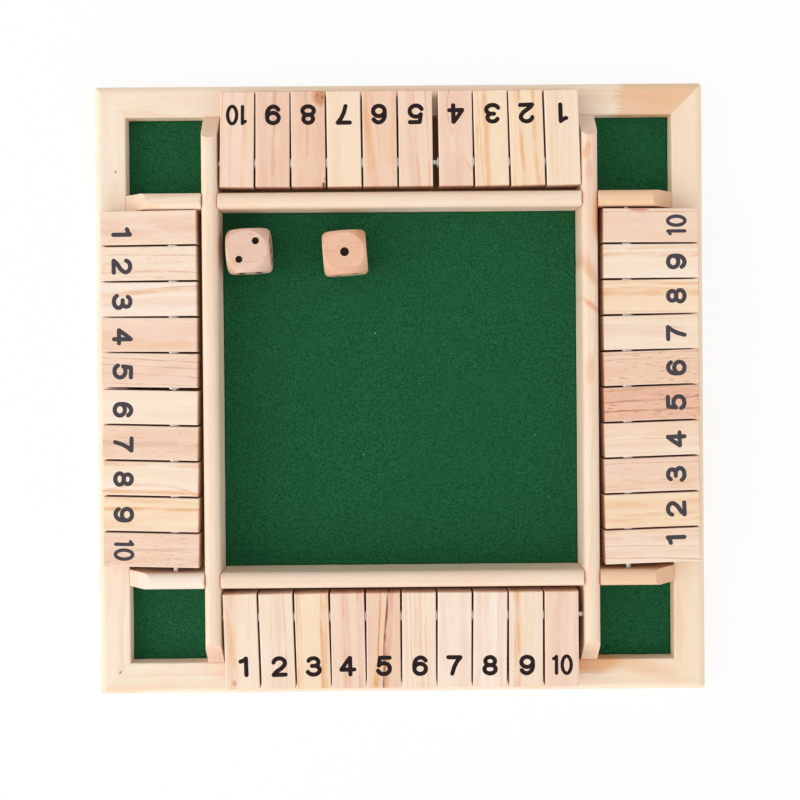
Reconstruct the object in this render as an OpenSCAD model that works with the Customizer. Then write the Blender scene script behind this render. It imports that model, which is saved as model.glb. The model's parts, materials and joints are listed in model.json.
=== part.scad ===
// Four-player shut the box board: a mitred tray with a felted dice well, four rows of ten
// numbered flip tiles on steel rods, and two wooden dice. Millimetres, +Z up. The origin is
// the centre of the underside; the front row faces -Y and the right row +X.

/* [Frame] */
// Side of the square board, over the frame
board_side = 305; // [296:1:330]
// Width of each frame rail
frame_w = 16; // [14:0.5:20]
// Height of the frame
frame_h = 15; // [14:0.5:18]
// Rounding along the frame's outer top edge
frame_round = 4; // [1:0.5:5]
// Rounding of the frame's upright outer corners
corner_round = 3.5; // [1:0.5:6]
// Easing of the frame's other long edges
frame_ease = 0.8; // [0.3:0.1:1.2]

/* [Base] */
// Thickness of the base panel
panel_t = 5; // [3:0.5:6]
// How far the panel reaches under each frame rail
rebate_w = 8; // [4:0.5:10]
// Gap between the panel's edge and its rebate
panel_gap = 0.15; // [0.05:0.05:0.3]
// Thickness of the felt
felt_t = 1; // [0.6:0.1:2]
// Gap between the felt's edge and the wood round it
felt_gap = 0.3; // [0.1:0.1:0.6]

/* [Inner rails] */
// Distance from the inner rails to the frame: the side of a corner pocket
pocket = 39; // [36:0.5:42]
// Thickness of the inner rails
rail_t = 8; // [7:0.5:10]
// Height of the inner rails above the frame
rail_rise = 12.5; // [10:0.5:14]
// Rounding along the inner rails' top edges
rail_round = 3.25; // [1:0.25:3.25]
// Length of the slope where a rail comes down to the frame
slope_l = 12; // [6:0.5:14]
// Easing of a rail end that butts against another rail
end_ease = 1; // [0.3:0.1:1.5]

/* [Tiles] */
// Thickness of a tile
tile_t = 11; // [8:0.5:12]
// How far a tile's outer end laps onto the frame
tile_land = 10.5; // [6:0.5:11]
// Gap between a tile's inner end and the rail behind it
tile_gap = 2.5; // [2:0.25:4]
// Sideways play of a row of tiles on its rod
row_play = 3.9; // [3.5:0.1:6]
// Easing of a tile's edges
tile_ease = 0.6; // [0.2:0.1:1]
// Gap under a resting tile or die
rest_gap = 0.1; // [0.05:0.05:0.3]

/* [Pivots] */
// Distance from the inner rail to the rod
rod_off = 14.8; // [13.5:0.1:16]
// Diameter of the pivot rods
rod_d = 3; // [2:0.25:4]
// How far a rod's end is let into the rail
rod_seat = 5; // [3:0.5:6]
// Room left past the rod's end in its blind hole
seat_room = 0.3; // [0.1:0.1:0.6]
// Clearance round the rod in its blind hole
seat_clear = 0.05; // [0.02:0.01:0.1]
// Running clearance round the rod in a tile or a washer
run_clear = 0.1; // [0.05:0.01:0.1]
// Outside diameter of the spacing washers
washer_d = 7; // [5:0.5:9]
// Thickness of the washers
washer_t = 0.65; // [0.5:0.05:0.8]
// Gap between a washer and each tile beside it
washer_play = 0.125; // [0.12:0.005:0.2]

/* [Dice] */
// Side of a die
die_side = 21.5; // [16:0.5:22]
// Diameter of the ball that rounds the die off, as a multiple of its side
die_ball = 1.35; // [1.3:0.01:1.5]
// Diameter of a pip
pip_d = 3.5; // [2:0.1:3.8]
// Diameter of the single pip on the ace face
ace_d = 4.4; // [2:0.1:5]
// Depth of a pip
pip_depth = 0.8; // [0.3:0.1:1]
// Distance of the outer pips from the middle of a face, along each side
pip_off = 4.3; // [3:0.1:4.6]

/* [Hidden] */
$fn = 64;
SIDES = ["front", "right", "back", "left"];
TILES = 10;
// Where the tiles of each row have slid to: the gap before tile 1, the tile that a wider gap
// follows, and how much wider that gap is
ROW_REST = [[1.05, TILES, 0], [2.75, TILES, 0], [0.5, 4, 2.1], [0.45, 5, 0.65]];
// How far each loose tile leans on its rod, in degrees; above 0, its outer end leans away
// from tile 1. Beyond 1.7 a tile turned over by itself would meet its neighbour.
ROW_LEANS = [
    [1.7, 1.7, 1.5, 0.8, 0.1, -0.2, -0.6, -0.8, -0.3, 0],
    [1.7, 1.7, 1.7, 1.7, 1.7, 1.5, 0.9, 0.5, 0, -0.3],
    [1.7, 1.7, 1.2, 0.6, 0.3, 0.5, 0.5, 0.2, -0.5, -1],
    [0.5, 0.4, 0.1, -0.5, -1.1, -1.5, -1.7, -1.7, -1.7, -1.7],
];
// Wood tones, and the tone of each tile from 1 to 10
TONES = ["#f8e2c9", "#f5dac2", "#f2d0b6", "#eec8ae", "#f3d0a0", "#e9bba2"];
ROW_TONES = [
    [1, 1, 4, 2, 3, 1, 0, 0, 1, 2],
    [1, 4, 2, 1, 5, 3, 1, 4, 0, 2],
    [1, 4, 4, 2, 2, 3, 0, 3, 3, 2],
    [1, 1, 0, 2, 2, 0, 2, 0, 4, 2],
];
// Where each die has come to rest: its gap to the left rail, its gap to the back rail, and
// its turn in degrees
DIE_SPOTS = [[3.3, 9.1, 3], [50.8, 10.1, 4]];

opening = board_side - 2 * frame_w;
rail_out = opening / 2 - pocket;
rail_mid = rail_out - rail_t / 2;
well_half = rail_out - rail_t;
well_side = 2 * well_half;
rail_top = frame_h + rail_rise;
felt_top = panel_t + felt_t;
tile_l = pocket + tile_land - tile_gap;
tile_step = (well_side - row_play + washer_t + 2 * washer_play) / TILES;
tile_w = tile_step - washer_t - 2 * washer_play;
rod_r = rod_d / 2;
rod_y = rail_out + rod_off;
rod_z = frame_h + rest_gap + tile_t / 2;
rod_l = well_side + 2 * rod_seat;

// --- shared outlines ---

// Waste that leaves a quarter round of radius r in the corner at the origin of a +x +y outline
module corner_waste(r)
    difference() {
        translate([-1, -1]) square(r + 1);
        translate([r, r]) circle(r);
    }

// Rectangle from the origin with a radius for each corner, anticlockwise from the origin;
// a corner with radius 0 stays square
module eased_rect(w, h, radii)
    difference() {
        square([w, h]);
        if (radii[0] > 0) corner_waste(radii[0]);
        if (radii[1] > 0) translate([w, 0]) mirror([1, 0]) corner_waste(radii[1]);
        if (radii[2] > 0) translate([w, h]) rotate(180) corner_waste(radii[2]);
        if (radii[3] > 0) translate([0, h]) mirror([0, 1]) corner_waste(radii[3]);
    }

// Extrusion along +X of an outline drawn in Y and Z
module along_x(length)
    rotate([90, 0, 90]) linear_extrude(length) children();

// Extrusion from front to back of an outline drawn in X and Z, centred on y = 0
module across_y(width)
    translate([0, width / 2, 0]) rotate([90, 0, 0]) linear_extrude(width) children();

// --- frame, base and felt ---

// Section of a frame rail from its outer face at y = 0, with the rebate for the panel
module frame_section()
    difference() {
        eased_rect(frame_w, frame_h, [frame_ease, 0, frame_ease, frame_round]);
        translate([frame_w - rebate_w, -1]) square([rebate_w + 1, panel_t + 1]);
    }

// The front frame rail, mitred at both ends
module frame_rail() {
    half = board_side / 2;
    inner = half - frame_w;
    color("#f6e0c8")
        intersection() {
            translate([-half, -half, 0]) along_x(board_side) frame_section();
            linear_extrude(frame_h)
                polygon([[-half, -half], [half, -half], [inner, -inner], [-inner, -inner]]);
            translate([-half, -half, 0]) linear_extrude(frame_h)
                eased_rect(board_side, board_side, corner_round * [1, 1, 1, 1]);
        }
}

module base_panel() {
    side = opening + 2 * (rebate_w - panel_gap);
    color("#e3cba6") translate([-side / 2, -side / 2, 0]) cube([side, side, panel_t]);
}

module felt_sheet(side)
    color("#1f5938") translate([0, 0, panel_t + felt_t / 2]) cube([side, side, felt_t], center = true);

module felt_well()
    felt_sheet(well_side - 2 * felt_gap);

module felt_pockets() {
    middle = rail_out + pocket / 2;
    for (x = [-middle, middle], y = [-middle, middle])
        translate([x, y, 0]) felt_sheet(pocket - 2 * felt_gap);
}

// --- inner rails ---

// Side view of a rail from x = 0; a sloped end comes down to the frame's top
module rail_side(length, slopes)
    difference() {
        polygon(concat(
            [[0, panel_t]],
            slopes[0] ? [[0, frame_h], [slope_l, rail_top]] : [[0, rail_top]],
            slopes[1] ? [[length - slope_l, rail_top], [length, frame_h]] : [[length, rail_top]],
            [[length, panel_t]]
        ));
        if (!slopes[0]) translate([0, rail_top]) mirror([0, 1]) corner_waste(end_ease);
        if (!slopes[1]) translate([length, rail_top]) rotate(180) corner_waste(end_ease);
    }

// A rail from x = 0 along +X, centred on y = 0, with rounded top edges; slopes says which of
// its two ends is cut down to the frame, and the other ends are eased
module rail_bar(length, slopes) {
    near = slopes[0] ? 0 : end_ease;
    far = slopes[1] ? 0 : end_ease;
    intersection() {
        translate([0, -rail_t / 2, panel_t]) along_x(length)
            eased_rect(rail_t, rail_top - panel_t, [0, 0, rail_round, rail_round]);
        across_y(rail_t) rail_side(length, slopes);
        translate([0, -rail_t / 2, 0]) linear_extrude(rail_top)
            eased_rect(length, rail_t, [near, far, far, near]);
    }
}

// Blind hole for a rod's end, from a mouth at the origin along +Y
module rod_hole()
    translate([0, -1, rod_z]) rotate([-90, 0, 0])
        cylinder(r = rod_r + seat_clear, h = 1 + rod_seat + seat_room);

// The right long rail, drilled for the front and back rods
module long_rail()
    color("#f4d8bd")
        difference() {
            translate([rail_mid, -opening / 2, 0]) rotate([0, 0, 90]) rail_bar(opening, [true, true]);
            for (y = [-rod_y, rod_y])
                translate([well_half, y, 0]) rotate([0, 0, -90]) rod_hole();
        }

// The back cross rail, between the long rails
module cross_rail()
    color("#f3d9bd") translate([-well_half, rail_mid, 0]) rail_bar(well_side, [false, false]);

// The back right corner rail, drilled for the right rod
module corner_rail()
    color("#f3d6b9")
        difference() {
            translate([rail_out, rail_mid, 0]) rail_bar(pocket, [false, true]);
            translate([rod_y, well_half, 0]) rod_hole();
        }

// --- flip tiles and their pivots ---

// Front row: distance of a tile's left side from the middle of the board
function tile_x(row, n) =
    ROW_REST[row][0] - well_half + (n - 1) * tile_step + (n > ROW_REST[row][1] ? ROW_REST[row][2] : 0);

module in_row(row)
    rotate([0, 0, 90 * row]) children();

// An eased block, with the middle of its rod hole at the origin and its outer end towards -Y
module tile_block()
    translate([-tile_w / 2, rod_off - tile_gap - tile_l, -tile_t / 2])
        intersection() {
            along_x(tile_w) eased_rect(tile_l, tile_t, tile_ease * [1, 1, 1, 1]);
            translate([0, tile_l / 2, 0]) across_y(tile_l)
                eased_rect(tile_w, tile_t, tile_ease * [1, 1, 1, 1]);
        }

// One tile, leaning as it lies and drilled along the rod
module flip_tile(row, n)
    color(TONES[ROW_TONES[row][n - 1]])
        in_row(row) translate([tile_x(row, n) + tile_w / 2, -rod_y, rod_z])
            difference() {
                rotate([0, 0, ROW_LEANS[row][n - 1]]) tile_block();
                translate([-tile_w / 2 - 1, 0, 0]) rotate([0, 90, 0])
                    cylinder(r = rod_r + run_clear, h = tile_w + 2);
            }

module pivot_rods()
    color("#b9bcc0")
        for (row = [0:3])
            in_row(row) translate([-rod_l / 2, -rod_y, rod_z]) rotate([0, 90, 0])
                cylinder(d = rod_d, h = rod_l);

module washer()
    rotate([0, 90, 0])
        difference() {
            cylinder(d = washer_d, h = washer_t);
            translate([0, 0, -1]) cylinder(r = rod_r + run_clear, h = washer_t + 2);
        }

// A washer between each pair of neighbouring tiles
module washers()
    color("#cfd2d4")
        for (row = [0:3], n = [1:TILES - 1])
            in_row(row) translate([tile_x(row, n) + tile_w + washer_play, -rod_y, rod_z]) washer();

// --- dice ---

// Pip places on a face, in steps of pip_off from its middle
function pips(count) = concat(
    count % 2 == 1 ? [[0, 0]] : [],
    count > 1 ? [[-1, -1], [1, 1]] : [],
    count > 3 ? [[-1, 1], [1, -1]] : [],
    count == 6 ? [[-1, 0], [1, 0]] : []
);

// Ball whose cap cuts a pip of this diameter, with the face's surface at z = 0
module pip(diameter) {
    ball = (pow(diameter / 2, 2) + pow(pip_depth, 2)) / (2 * pip_depth);
    translate([0, 0, ball - pip_depth]) sphere(ball);
}

// A die with its ace up: opposite faces add up to seven
module die() {
    faces = [[1, 0, 0], [2, 90, 0], [3, 0, 90], [4, 0, -90], [5, -90, 0], [6, 180, 0]];
    difference() {
        intersection() {
            cube(die_side, center = true);
            sphere(d = die_side * die_ball);
        }
        for (face = faces, at = pips(face[0]))
            rotate([face[1], face[2], 0]) translate([pip_off * at[0], pip_off * at[1], die_side / 2])
                pip(face[0] == 1 ? ace_d : pip_d);
    }
}

// A die on the felt, tipped about X to bring another face up
module die_at(spot, tip) {
    reach = die_side / 2 * (cos(spot[2]) + sin(spot[2]));
    middle = felt_top + rest_gap + die_side / 2;
    color("#e6bf9c")
        translate([spot[0] + reach - well_half, well_half - spot[1] - reach, middle])
            rotate([tip, 0, spot[2]]) die();
}

// --- assembly ---

for (row = [0:3])
    in_row(row) frame_rail();
base_panel();
felt_well();
felt_pockets();
mirror([1, 0, 0]) long_rail();  // long_rail_left
long_rail();  // long_rail_right
mirror([0, 1, 0]) cross_rail();  // cross_rail_front
cross_rail();  // cross_rail_back
rotate([0, 0, 180]) corner_rail();  // corner_rail_front_left
mirror([0, 1, 0]) corner_rail();  // corner_rail_front_right
mirror([1, 0, 0]) corner_rail();  // corner_rail_back_left
corner_rail();  // corner_rail_back_right
pivot_rods();
washers();
die_at(DIE_SPOTS[0], -90);  // die_left
die_at(DIE_SPOTS[1], 0);  // die_right
for (row = [0:3], n = [1:TILES])
    flip_tile(row, n);
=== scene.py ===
"""Looks for a four-player shut the box board: sanded pine, felt, steel pivots, printed
numbers and painted pips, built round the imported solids. Blender 4.5."""

import json
import math

import bpy
import numpy as np
from bpy.props import FloatProperty, FloatVectorProperty, PointerProperty
from mathutils import Euler, Matrix, Vector, geometry


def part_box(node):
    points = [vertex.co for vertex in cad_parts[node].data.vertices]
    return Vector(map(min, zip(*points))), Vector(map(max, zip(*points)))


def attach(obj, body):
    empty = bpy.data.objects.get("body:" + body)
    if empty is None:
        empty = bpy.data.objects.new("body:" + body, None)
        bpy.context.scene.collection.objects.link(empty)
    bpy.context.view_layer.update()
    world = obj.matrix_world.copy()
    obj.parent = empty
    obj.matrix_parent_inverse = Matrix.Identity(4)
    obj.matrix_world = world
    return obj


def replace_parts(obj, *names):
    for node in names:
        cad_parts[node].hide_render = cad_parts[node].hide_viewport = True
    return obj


bl_info = {
    "name": "Shut the box board",
    "version": (1, 0, 0),
    "blender": (4, 5, 0),
    "location": "View3D > Sidebar > Game board",
    "description": "Dresses a four-player shut the box board in wood, felt and steel",
    "category": "Object",
}

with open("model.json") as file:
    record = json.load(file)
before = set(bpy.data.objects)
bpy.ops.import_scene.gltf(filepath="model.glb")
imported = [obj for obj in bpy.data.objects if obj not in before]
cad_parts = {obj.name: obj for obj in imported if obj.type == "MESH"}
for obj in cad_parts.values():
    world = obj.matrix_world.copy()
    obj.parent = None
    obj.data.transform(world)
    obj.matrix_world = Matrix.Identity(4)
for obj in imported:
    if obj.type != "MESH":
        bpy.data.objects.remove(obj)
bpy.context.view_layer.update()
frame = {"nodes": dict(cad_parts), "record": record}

MM = 0.001
SIDES = ("front", "right", "back", "left")
TILES = range(1, 11)
SEED = 11


def linear(code):
    """The linear RGBA of an sRGB hex value: each channel c becomes c / 12.92 up to 0.04045,
    and ((c + 0.055) / 1.055) to the power 2.4 above it."""
    channels = [int(code[i:i + 2], 16) / 255 for i in (1, 3, 5)]
    return [c / 12.92 if c <= 0.04045 else ((c + 0.055) / 1.055) ** 2.4 for c in channels] + [1]


def size(name, about, default):
    """A length that a user may change, in metres."""
    return FloatProperty(name=name, description=about, default=default, min=0,
                         unit="LENGTH", subtype="DISTANCE", precision=5)


def colour(name, about, code):
    """A colour that a user may change, from its sRGB hex value."""
    return FloatVectorProperty(name=name, description=about, default=linear(code), size=4,
                               min=0, max=1, subtype="COLOR")


class BoardSizes(bpy.types.PropertyGroup):
    """Sizes of what is printed, painted and laid on the solids"""
    digit_height: size("Number height", "Height of a printed number", 0.0102)
    digit_stroke: size("Number stroke", "Width of a number's strokes", 0.0021)
    ten_stroke: size("Stroke of ten", "Width of the strokes of the narrower 10", 0.0017)
    digit_reach: size("Number place", "From a tile's outer end to the middle of its number",
                      0.0110)
    ink: size("Ink film", "How far the printed ink stands on the wood", 0.00003)
    pip_width: size("Pip width", "Diameter of a painted pip", 0.0035)
    ace_width: size("Ace width", "Diameter of the painted pip on the ace face", 0.0044)
    pip_depth: size("Pip depth", "Depth of a pip", 0.0008)
    pip_step: size("Pip spacing", "From the middle of a face to its outer pips", 0.0043)
    felt_nap: size("Felt nap", "How much the felt's surface rises and falls", 0.00016)
    felt_reach: size("Felt reach", "How far the felt is pushed out past its cut size", 0.00024)
    felt_curl: size("Felt curl", "How far the felt's edge climbs the wood", 0.0006)


class BoardColours(bpy.types.PropertyGroup):
    """Colours of the wood, felt, steel, ink and paint"""
    frame_wood: colour("Frame", "Wood of the frame", "#fcead4")
    rail_wood: colour("Rails", "Wood of the inner rails", "#f9e2ca")
    panel_wood: colour("Panel", "Face of the base panel", "#cc9a6e")
    die_wood: colour("Left die", "Wood of the left die", "#f1d0bc")
    die_right: colour("Right die", "Wood of the right die", "#f4c3a4")
    pale: colour("Pale tile", "The palest tiles", "#feeddc")
    cream: colour("Cream tile", "Cream tiles", "#fce7d1")
    peach: colour("Peach tile", "Slightly pink tiles", "#f9dcc6")
    tan: colour("Tan tile", "Darker tiles", "#f6d4bc")
    honey: colour("Honey tile", "Yellower tiles", "#fde4c5")
    golden: colour("Golden rails", "Wood of the two right-hand corner rails", "#f5cea9")
    rose: colour("Rose tile", "The pinkest tile", "#f1c3a9")
    amber: colour("Amber grain", "Late wood", "#efbd8a")
    orange: colour("Orange bands", "Resin-rich bands", "#eba86c")
    pink: colour("Pink bands", "Rosy shades between the rings", "#eab29a")
    brown: colour("Brown grain", "Darker grain lines", "#cd8655")
    yellow: colour("Yellow resin", "Amber-yellow patches of resin", "#e2ad52")
    rust: colour("Rust grain", "Red-brown lines in the darkest grain", "#b0592a")
    resin: colour("Resin streak", "Dark resin and the hearts of knots", "#7c3010")
    felt: colour("Felt", "Felt in the well and pockets", "#1e5736")
    steel: colour("Steel", "Rods", "#c8c4be")
    washer: colour("Washers", "Plated washers", "#cfc8c0")
    ink: colour("Ink", "Printed numbers", "#26191b")
    thin_ink: colour("Thin ink", "Numbers printed more lightly", "#4a454b")
    worn_ink: colour("Worn ink", "Where a printed number is broken up", "#6d5a54")
    paint: colour("Pip paint", "Paint in the pips", "#221514")
    worn_paint: colour("Worn paint", "Paler specks in the pip paint", "#4a3f3c")
    canal: colour("Resin canals", "Short dashes along the grain", "#b06a40")
    # painted highlight: paler wood along a tile's top edges, where light catches the rounded arris
    sanded_edge: colour("Painted edge highlight", "Paler wood along a tile's sanded edges", "#fff2e6")
    end_grain: colour("End grain", "Share of its colour that end grain keeps", "#efe4e1")
    # painted shade: a tile's sides are darker and browner, so that the gaps between tiles look dark
    sawn_side: colour("Painted side shade", "Share of its colour that a tile's side keeps", "#cfae95")
    die_edge: colour("Dice edges", "Browner wood at the dice's edges", "#d9995f")
    lint: colour("Lint", "Pale specks in the felt", "#b9d0b4")
    felt_pit: colour("Felt pits", "Small dark pits in the felt", "#0c2e1b")
    drawn_line: colour("Drawn lines", "Duller lines along the steel", "#8f9092")


def shade(name):
    """A colour of the board, by its name in BoardColours."""
    return getattr(bpy.context.scene.board_colours, name)


# --- meshes ---

def piece(name, points, faces, material, body, smooth=True):
    """A new object with that closed mesh and material, riding on a body of the board."""
    mesh = bpy.data.meshes.new(name)
    mesh.from_pydata(np.asarray(points, float).tolist(), [], [list(f) for f in faces])
    mesh.polygons.foreach_set("use_smooth", np.full(len(mesh.polygons), smooth))
    mesh.materials.append(material)
    mesh.validate()
    made = bpy.data.objects.new(name, mesh)
    bpy.context.scene.collection.objects.link(made)
    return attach(made, body)


def grid_faces(at):
    """The quads of a grid of point numbers, facing +Z when its columns run along +X and its
    rows along +Y."""
    return np.stack([at[:-1, :-1], at[:-1, 1:], at[1:, 1:], at[1:, :-1]], -1).reshape(-1, 4)


def smooth_noise(rng, rows, columns, cell):
    """Values from -1 to 1 on a grid: random numbers at every cell-th point, joined along both
    ways by a half cosine."""
    across, down = (np.arange(n) / cell for n in (columns, rows))
    knots = rng.uniform(-1, 1, (int(down[-1]) + 2, int(across[-1]) + 2))

    def ease(t):
        return (1 - np.cos(np.pi * (t % 1))) / 2

    j, i = across.astype(int), down.astype(int)[:, None]
    tx, ty = ease(across), ease(down)[:, None]
    low = knots[i, j] * (1 - tx) + knots[i, j + 1] * tx
    high = knots[i + 1, j] * (1 - tx) + knots[i + 1, j + 1] * tx
    return low * (1 - ty) + high * ty


# --- materials ---

def add_node(tree, kind, feeds=None, **settings):
    """Adds a node. settings are its own properties, and feeds gives each input, by name or
    number, a value or the output that feeds it."""
    node = tree.nodes.new(kind)
    for key, value in settings.items():
        setattr(node, key, value)
    for key, value in (feeds or {}).items():
        if isinstance(value, bpy.types.NodeSocket):
            tree.links.new(value, node.inputs[key])
        else:
            node.inputs[key].default_value = value
    return node


def math_node(tree, operation, *values):
    """The output of a maths node on these values or outputs."""
    return add_node(tree, "ShaderNodeMath", dict(enumerate(values)), operation=operation).outputs[0]


def vector_node(tree, operation, *values):
    """The output of a vector maths node on these values or outputs."""
    outputs = add_node(tree, "ShaderNodeVectorMath", dict(enumerate(values)),
                       operation=operation).outputs
    return outputs["Value" if operation == "LENGTH" else "Vector"]


def split(tree, vector):
    """The three parts of a vector, or of a colour."""
    return add_node(tree, "ShaderNodeSeparateXYZ", {0: vector}).outputs


def place_on(tree):
    """The place on the object, in metres."""
    return add_node(tree, "ShaderNodeTexCoord").outputs["Object"]


def place_in_mm(tree):
    """The place on the object, in millimetres."""
    return vector_node(tree, "MULTIPLY", place_on(tree), (1 / MM,) * 3)


def noise_value(tree, place, scale, **inputs):
    """The value of a noise at a place, at so many cells to each unit of length."""
    return add_node(tree, "ShaderNodeTexNoise", {
        "Vector": place, "Scale": scale, **inputs}).outputs[0]


def fade(tree, value, low, high, out_low=0.0, out_high=1.0):
    """A value eased from out_low at low to out_high at high."""
    return add_node(tree, "ShaderNodeMapRange", {
        "Value": value, "From Min": low, "From Max": high, "To Min": out_low, "To Max": out_high,
    }, interpolation_type="SMOOTHSTEP").outputs[0]


def mixed(tree, share, under, over, blend="MIX"):
    """Two colours mixed by a share."""
    return add_node(tree, "ShaderNodeMix", {0: share, 6: under, 7: over},
                    data_type="RGBA", blend_type=blend).outputs[2]


def surface(name, **inputs):
    """A new material and its Principled BSDF, with uniform values on the shader's sockets."""
    made = bpy.data.materials.new(name)
    made.use_nodes = True
    shader = made.node_tree.nodes["Principled BSDF"]
    for key, value in inputs.items():
        shader.inputs[key.replace("_", " ")].default_value = value
    return made, made.node_tree, shader


def grain_group():
    """Softwood as a solid: growth rings are cylinders round a pith that runs along Y, their
    radius disturbed by noise that is long along the grain. Early wood shades slowly into late
    wood and stops at a sharp line. Fibres are a fine noise stretched along Y. Lengths are in
    millimetres."""
    tree = bpy.data.node_groups.new("Softwood grain", "ShaderNodeTree")
    for name, kind in (("Place", "Vector"), ("Tilt", "Vector"), ("Pith", "Vector"),
                       ("Seed", "Vector"), ("Spacing", "Float"), ("Contrast", "Float"),
                       ("Dashes", "Float"), ("Early", "Color"), ("Late", "Color")):
        tree.interface.new_socket(name, in_out="INPUT", socket_type="NodeSocket" + kind)
    for name, kind in (("Color", "Color"), ("Height", "Float"), ("Wander", "Vector"),
                       ("Broken", "Float")):
        tree.interface.new_socket(name, in_out="OUTPUT", socket_type="NodeSocket" + kind)
    given = add_node(tree, "NodeGroupInput").outputs
    turned = add_node(tree, "ShaderNodeVectorRotate", {
        "Vector": given["Place"], "Rotation": given["Tilt"]}, rotation_type="EULER_XYZ").outputs[0]

    def noise(stretch, detail, shift):
        place = vector_node(tree, "MULTIPLY_ADD", turned, stretch, given["Seed"])
        return add_node(tree, "ShaderNodeTexNoise", {
            "Vector": vector_node(tree, "ADD", place, (shift,) * 3), "Scale": 1.0,
            "Detail": detail, "Roughness": 0.55}).outputs

    # the rings wander by about 3 mm over a few centimetres
    drift = vector_node(tree, "SUBTRACT", noise((0.05, 0.012, 0.05), 2, 0)["Color"], (0.5,) * 3)
    wander = vector_node(tree, "MULTIPLY_ADD", drift, (6, 0, 6), turned)
    off = vector_node(tree, "MULTIPLY", vector_node(tree, "SUBTRACT", wander, given["Pith"]),
                      (1, 0, 1))
    radius = vector_node(tree, "LENGTH", off)
    uneven = add_node(tree, "ShaderNodeTexNoise", {"W": radius, "Scale": 0.17, "Detail": 1.0},
                      noise_dimensions="1D").outputs[0]
    phase = math_node(tree, "ADD", math_node(tree, "DIVIDE", radius, given["Spacing"]),
                      math_node(tree, "MULTIPLY", uneven, 3.0))
    ring = add_node(tree, "ShaderNodeValToRGB", {0: math_node(tree, "FRACT", phase)})
    stops = ring.color_ramp
    for at, value in ((0.3, 0.0), (0.8, 0.75), (0.93, 1.0)):
        stops.elements.new(at).color = (value,) * 3 + (1,)
    stops.elements[-1].color = (0, 0, 0, 1)
    patchy = fade(tree, noise((0.09, 0.01, 0.09), 1, 31)[0], 0.35, 0.62, 0.25, 1.0)
    late = math_node(tree, "MULTIPLY", math_node(tree, "MULTIPLY", ring.outputs[0], patchy),
                     given["Contrast"])
    fibre = noise((3.2, 0.07, 3.2), 3, 57)[0]
    cloud = noise((0.11, 0.025, 0.11), 2, 83)[0]
    wood = mixed(tree, late, given["Early"], given["Late"])
    wood = mixed(tree, fade(tree, cloud, 0.3, 0.7, 0.0, 0.16), wood, given["Late"])
    # open resin canals: short brown dashes along the grain
    canal = fade(tree, noise((2.0, 0.16, 2.0), 2, 140)[0], 0.6, 0.7)
    wood = mixed(tree, math_node(tree, "MULTIPLY", canal, given["Dashes"]), wood, shade("canal"))
    wood = vector_node(tree, "MULTIPLY", wood, add_node(tree, "ShaderNodeCombineXYZ", {
        0: fade(tree, fibre, 0.3, 0.7, 0.985, 1.012), 1: fade(tree, fibre, 0.3, 0.7, 0.96, 1.03),
        2: fade(tree, fibre, 0.3, 0.7, 0.94, 1.05)}).outputs[0])
    broken = fade(tree, noise((0.3, 0.06, 0.3), 2, 211)[0], 0.35, 0.6, 0.3, 1.0)
    height = math_node(tree, "SUBTRACT", fibre, math_node(tree, "MULTIPLY", late, 0.4))
    add_node(tree, "NodeGroupOutput", {"Color": wood, "Height": height, "Wander": wander,
                                       "Broken": broken})
    return tree


def filled(given, usual):
    """The given values, then the usual ones for those that are left out."""
    return [*given, *usual[len(given):]]


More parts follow.
